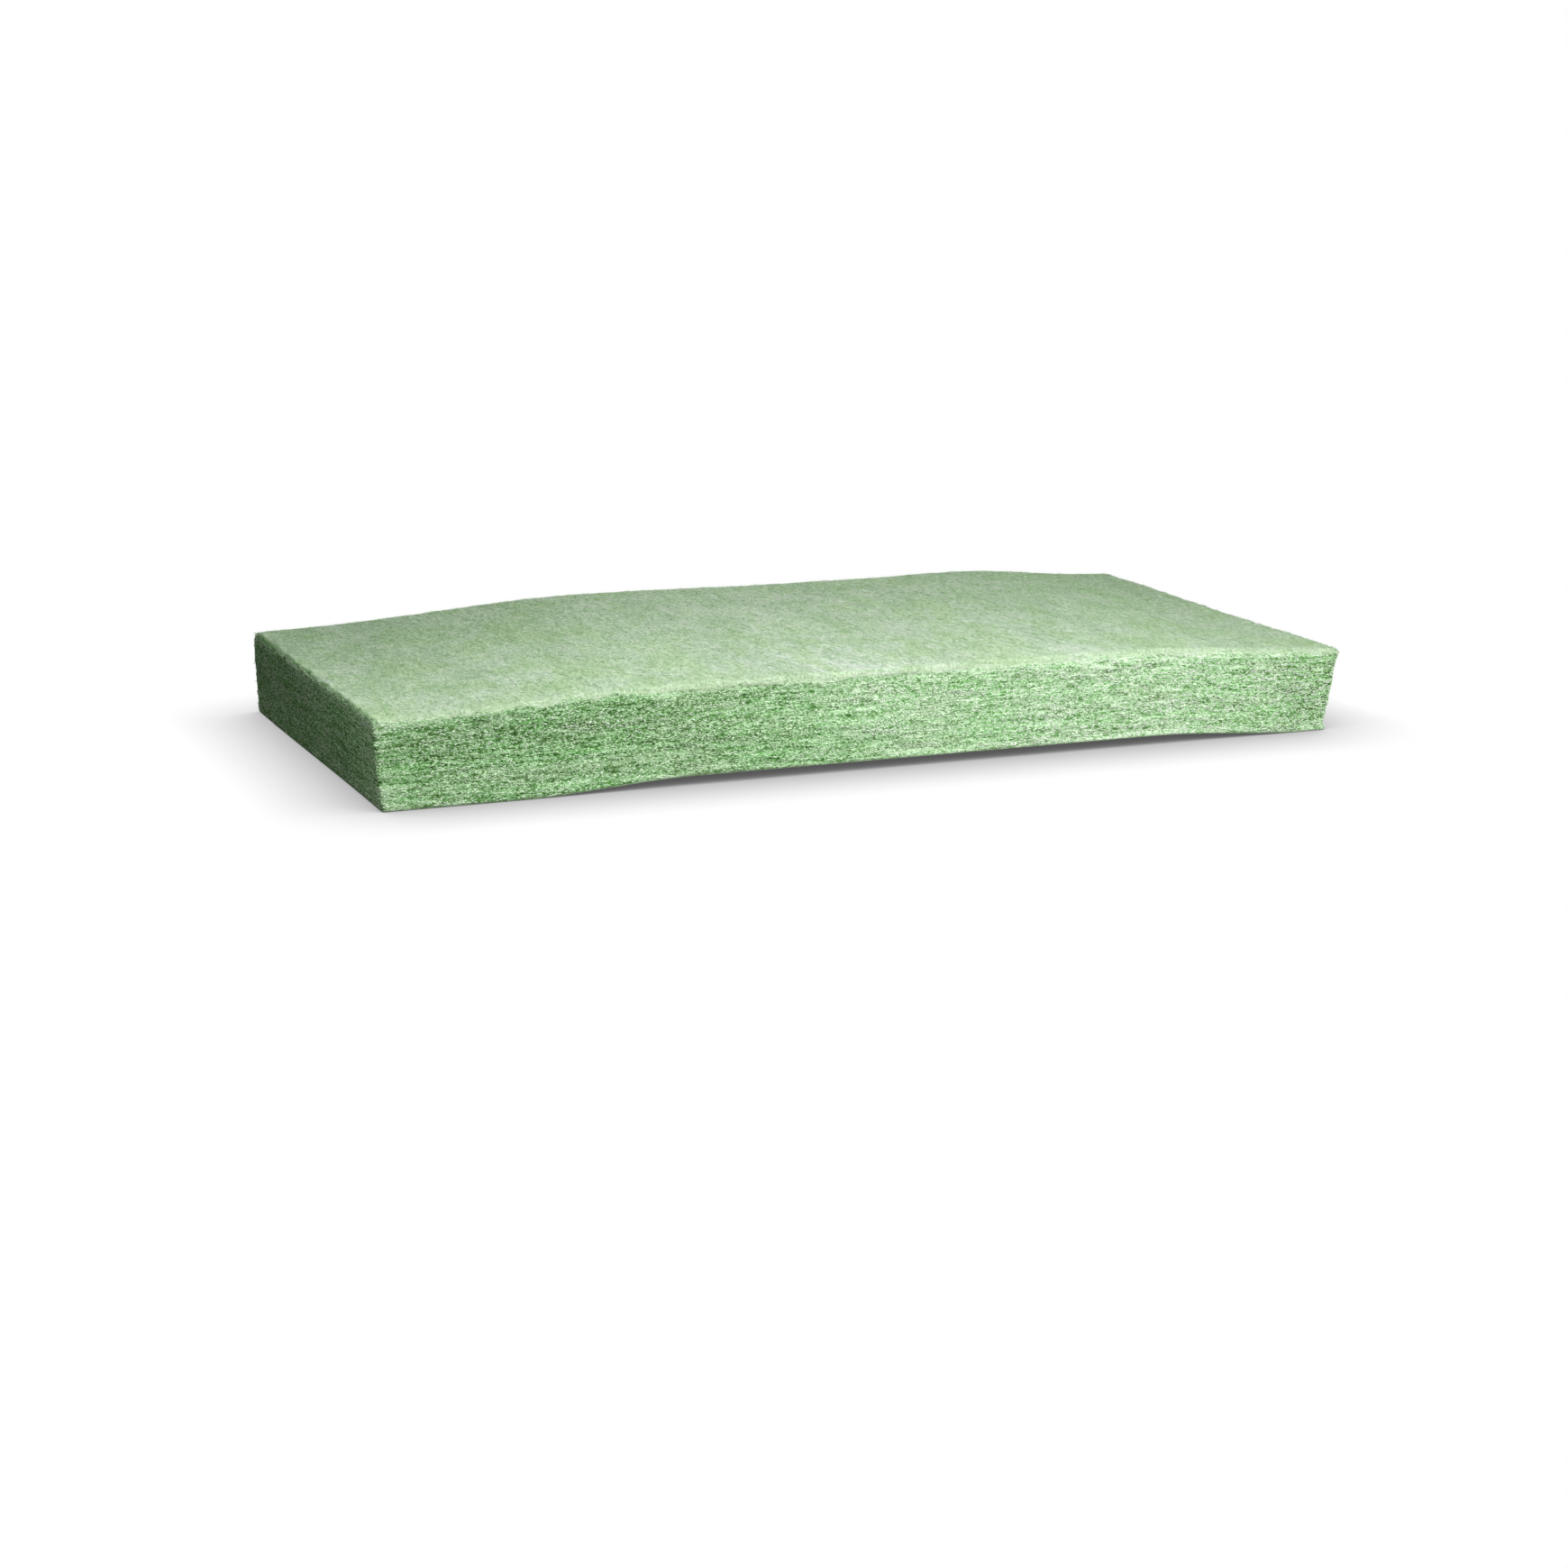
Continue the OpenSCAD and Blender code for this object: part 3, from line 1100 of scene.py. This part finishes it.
# %% The open cut, seen between the fibres
CUT_FLECK, CUT_STREAK = 0.6, 0.4
CUT_SWELLS = (0.36, 0.64)
# The tone is lowered to paint the shade inside the batt.
SHADED_CUT_TONES = (-0.86, -0.06)
CUT_PATCHES = (0.3, 0.7)
CUT_TINTS = (0.05, 0.65)


def shaded_cut_colour(tree, laid, level):
    """The colour of the cut behind its fibres, at a lower tone for painted shade."""
    streak = swells(tree, laid, mm(30, 30, 2), detail=2, rough=0.6)
    fleck = swells(tree, laid, mm(3.6, 3.6, 2), detail=2, rough=0.6, warp=0.3)
    patch = swells(tree, laid, mm(95, 95, 17))
    streak = maths(tree, "MULTIPLY", streak, CUT_STREAK)
    mixed = maths(tree, "MULTIPLY_ADD", fleck, CUT_FLECK, streak)
    tone = maths(tree, "ADD", level, stretch(tree, mixed, *CUT_SWELLS, *SHADED_CUT_TONES))
    fresh = ramp(tree, tone, FRESH_STOPS)
    grey = ramp(tree, tone, GREY_STOPS)
    return mix(tree, stretch(tree, patch, *CUT_PATCHES, *CUT_TINTS), fresh, grey)


# %% [markdown]
# ### The felt
# The skin comes off a roller, so it is banded across the width: some bands are paler, some yellower.
# A ramp along the length holds them, with its places pushed about by noise so that no band is
# straight. The felt is darker towards the back and paler at the front left, and its rims are paler
# where it wraps over. Over it lie mottles a few centimetres wide and a fine grain that runs across
# the width as the fibres do.

# %% Colours of the felt
FELT_BANDS = (
    (0, screen_colour(218, 235, 219)),
    (110, screen_colour(215, 232, 215)),
    (210, screen_colour(222, 238, 223)),
    (290, screen_colour(211, 229, 208)),
    (345, screen_colour(216, 232, 216)),
    (390, screen_colour(222, 235, 224)),
    (445, screen_colour(208, 224, 208)),
    (540, screen_colour(222, 233, 225)),
    (610, screen_colour(219, 230, 222)),
    (690, screen_colour(210, 223, 210)),
    (770, screen_colour(214, 229, 214)),
    (880, screen_colour(212, 227, 213)),
    (1000, screen_colour(202, 219, 200)),
    (1160, screen_colour(199, 215, 196)),
)
RIM_COLOUR = screen_colour(212, 232, 196)
BACK_DARKER = screen_colour(223, 232, 218)
FRONT_LEFT_PALER = screen_colour(232, 250, 226)
MOTTLE_DARK = screen_colour(222, 235, 215)
PATCH_YELLOWER = screen_colour(239, 251, 220)
GRAIN_DARK = screen_colour(190, 204, 182)
GRAIN_PALE = screen_colour(244, 250, 240)
print("bands across the felt:", len(FELT_BANDS))

# %% The felted skin
BAND_WANDER = 40 * MM
FRONT_LEFT_SHARE = 0.45
FRONT_LEFT_REACH = 420 * MM
FRONT_LEFT_BACK = 0.5 * HALF_W
MOTTLE_SWELLS = (0.4, 0.62)
PATCH_SWELLS = (0.38, 0.62)
GRAIN_SWELLS = (0.36, 0.62)
GRAIN_PALE_SHARE = 0.25
FELT_HAIRS, FELT_GRAIN = 0.4, 0.6
RIM_PALENESS = 0.5


def felt_colour(tree, laid, rim):
    """The colour of the two skins: broad bands across the width, mottle and fine fibre."""
    parts = add_node(tree, "ShaderNodeSeparateXYZ", Vector=laid)
    pushed = swells(tree, laid, mm(160, 120, 200), detail=3, rough=0.6)
    pushed = stretch(tree, pushed, 0, 1, -BAND_WANDER, BAND_WANDER)
    from_left = maths(tree, "ADD", maths(tree, "ADD", parts.outputs["X"], HALF_L), pushed)
    stops = [(at * MM / BATT_L, colour) for at, colour in FELT_BANDS]
    base = ramp(tree, maths(tree, "DIVIDE", from_left, BATT_L), stops)
    to_back = stretch(tree, parts.outputs["Y"], -HALF_W, HALF_W)
    to_back = maths(tree, "SUBTRACT", to_back, rim, clamp=True)
    base = mix(tree, to_back, base, mix(tree, 1.0, base, BACK_DARKER, "MULTIPLY"))
    reached = -HALF_L + FRONT_LEFT_REACH
    near_left = stretch(tree, parts.outputs["X"], -HALF_L, reached, FRONT_LEFT_SHARE, 0)
    near_front = stretch(tree, parts.outputs["Y"], -HALF_W, FRONT_LEFT_BACK, 1, 0)
    base = mix(tree, maths(tree, "MULTIPLY", near_left, near_front), base, FRONT_LEFT_PALER)
    mottle = swells(tree, laid, mm(32, 70, 30), detail=3, rough=0.65, warp=0.6)
    dark = mix(tree, 1.0, base, MOTTLE_DARK, "MULTIPLY")
    base = mix(tree, stretch(tree, mottle, *MOTTLE_SWELLS), dark, base)
    patch = swells(tree, laid, mm(45, 100, 45), detail=4, rough=0.65, warp=0.6)
    yellower = mix(tree, 1.0, base, PATCH_YELLOWER, "MULTIPLY")
    base = mix(tree, stretch(tree, patch, *PATCH_SWELLS), base, yellower)
    hairs = swells(tree, laid, mm(5, 22, 4), detail=3, rough=0.7, warp=0.4)
    grain = swells(tree, laid, mm(2.2, 8, 3), detail=2, rough=0.7, warp=0.3)
    grain = maths(tree, "MULTIPLY", grain, FELT_GRAIN)
    fine = maths(tree, "MULTIPLY_ADD", hairs, FELT_HAIRS, grain)
    darker = mix(tree, 1.0, base, GRAIN_DARK, "MULTIPLY")
    paler = mix(tree, GRAIN_PALE_SHARE, base, GRAIN_PALE)
    base = mix(tree, stretch(tree, fine, *GRAIN_SWELLS), darker, paler)
    return mix(tree, maths(tree, "MULTIPLY", rim, RIM_PALENESS), base, RIM_COLOUR)


# %% Slab material
ROUGH_SWELLS = (0.3, 0.7)
SLAB_ROUGH = (0.8, 1.0)
GRAIN_STRENGTH = 0.8
GRAIN_HEIGHT = 1.6 * MM


def slab_material():
    """The finish of the slab: felt where it is skin, fibre ends where it is cut."""
    made, tree, shader = plain_material("bonded_fibre")
    laid = read_attribute(tree, "laid", "Vector")
    skin = read_attribute(tree, "skin", "Fac")
    level = read_attribute(tree, "level", "Fac")
    rim = read_attribute(tree, "rim", "Fac")
    colour = mix(tree, skin, shaded_cut_colour(tree, laid, level), felt_colour(tree, laid, rim))
    tree.links.new(colour, shader.inputs["Base Color"])
    rough = swells(tree, laid, mm(3, 3, 2))
    tree.links.new(stretch(tree, rough, *ROUGH_SWELLS, *SLAB_ROUGH), shader.inputs["Roughness"])
    grain = swells(tree, laid, mm(4, 9, 2), detail=4, rough=0.65, warp=0.5)
    bump = add_node(
        tree,
        "ShaderNodeBump",
        Strength=GRAIN_STRENGTH,
        Distance=GRAIN_HEIGHT,
        Height=grain,
    )
    tree.links.new(bump.outputs[0], shader.inputs["Normal"])
    return made


slab.data.materials.append(slab_material())
for piece in fibre_pieces:
    piece.data.materials.append(fibre_finish)
print("nodes in the slab's finish:", len(slab.data.materials[0].node_tree.nodes))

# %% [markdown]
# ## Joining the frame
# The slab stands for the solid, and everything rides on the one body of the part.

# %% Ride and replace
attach(slab, "root")
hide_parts("batt")
for piece in fibre_pieces:
    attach(piece, "root")
print("pieces:", slab.name, *(piece.name for piece in fibre_pieces))

# %% [markdown]
# ## Floor and background
# The floor looks white to the camera and keeps a soft contact shadow, but throws little light back,
# as a dark studio floor would.

# %% Floor
FLOOR_HALF = 12
FLOOR_GREY = screen_colour(120, 120, 120)
SHADOW_REACH = 0.12
SHADOW_SHARE = 0.92
SHADOW_SAMPLES = 16


def seen_share(tree):
    """1 for rays that the eye follows, straight or through gloss or glass, and 0 for bounced light."""
    path = tree.nodes.new("ShaderNodeLightPath")
    seen = maths(tree, "MAXIMUM", path.outputs["Is Camera Ray"], path.outputs["Is Glossy Ray"])
    return maths(tree, "MAXIMUM", seen, path.outputs["Is Transmission Ray"])


def floor_material():
    """White to the camera, with the contact shadow, and dark to the light that bounces."""
    made = bpy.data.materials.new("floor")
    made.use_nodes = True
    tree = made.node_tree
    tree.nodes.clear()
    seen = seen_share(tree)
    shade = add_node(tree, "ShaderNodeAmbientOcclusion", Distance=SHADOW_REACH)
    shade.samples = SHADOW_SAMPLES
    open_share = stretch(tree, shade.outputs["AO"], 0, 1, 1 - SHADOW_SHARE, 1)
    glow = add_node(tree, "ShaderNodeEmission", Strength=open_share)
    dull = add_node(tree, "ShaderNodeBsdfDiffuse", Color=FLOOR_GREY)
    both = add_node(tree, "ShaderNodeMixShader", Fac=seen)
    tree.links.new(dull.outputs[0], both.inputs[1])
    tree.links.new(glow.outputs[0], both.inputs[2])
    out = tree.nodes.new("ShaderNodeOutputMaterial")
    tree.links.new(both.outputs[0], out.inputs["Surface"])
    return made


floor_bm = bmesh.new()
bmesh.ops.create_grid(floor_bm, x_segments=1, y_segments=1, size=FLOOR_HALF)
floor = mesh_from("floor", floor_bm)
floor.data.materials.append(floor_material())
print("floor:", 2 * FLOOR_HALF, "m wide")

# %% World
AMBIENT = 0.12

world = bpy.data.worlds.new("studio")
world.use_nodes = True
world_tree = world.node_tree
world_tree.nodes.clear()
world_strength = stretch(world_tree, seen_share(world_tree), 0, 1, AMBIENT, 1)
world_glow = add_node(world_tree, "ShaderNodeBackground", Strength=world_strength)
world_glow.inputs["Color"].default_value = (1, 1, 1, 1)
world_out = world_tree.nodes.new("ShaderNodeOutputWorld")
world_tree.links.new(world_glow.outputs[0], world_out.inputs["Surface"])
bpy.context.scene.world = world
print("ambient light:", AMBIENT)

# %% [markdown]
# ## Light
# A soft key stands low at the right front, so the front falls off towards the left and the left end
# stays in shade but for a breath of light at its front corner. A wide lamp overhead opens up the
# skin, and a gentle one keeps the back readable.

# %% Lamps
def soft_lamp(name, place, aim, width, watts):
    """A square area lamp that faces its aim."""
    data = bpy.data.lights.new(name, "AREA")
    data.shape = "SQUARE"
    data.size = width
    data.energy = watts
    lamp = bpy.data.objects.new(name, data)
    lamp.location = place
    facing = np.array(place) - np.array(aim)
    yaw = math.atan2(facing[0], -facing[1])
    tilt = math.atan2(math.hypot(facing[0], facing[1]), facing[2])
    lamp.rotation_euler = (tilt, 0, yaw)
    lamp.visible_camera = False
    bpy.context.scene.collection.objects.link(lamp)


for name, place, aim, width, watts in (
    ("key", (1.6, -1.8, 0.55), (0.3, -0.29, 0.05), 0.6, 32),
    ("overhead", (0, -0.9, 1.3), (-0.1, -0.2, 0.1), 0.5, 18.9),
    ("corner_fill", (-1.1, -0.75, 0.4), (-0.58, -0.2, 0.06), 0.3, 1.05),
    ("back_fill", (0.9, 2.4, 0.5), (0, 0.29, 0.05), 0.8, 26),
):
    soft_lamp(name, place, aim, width, watts)
    print("lamp:", name, watts, "W")
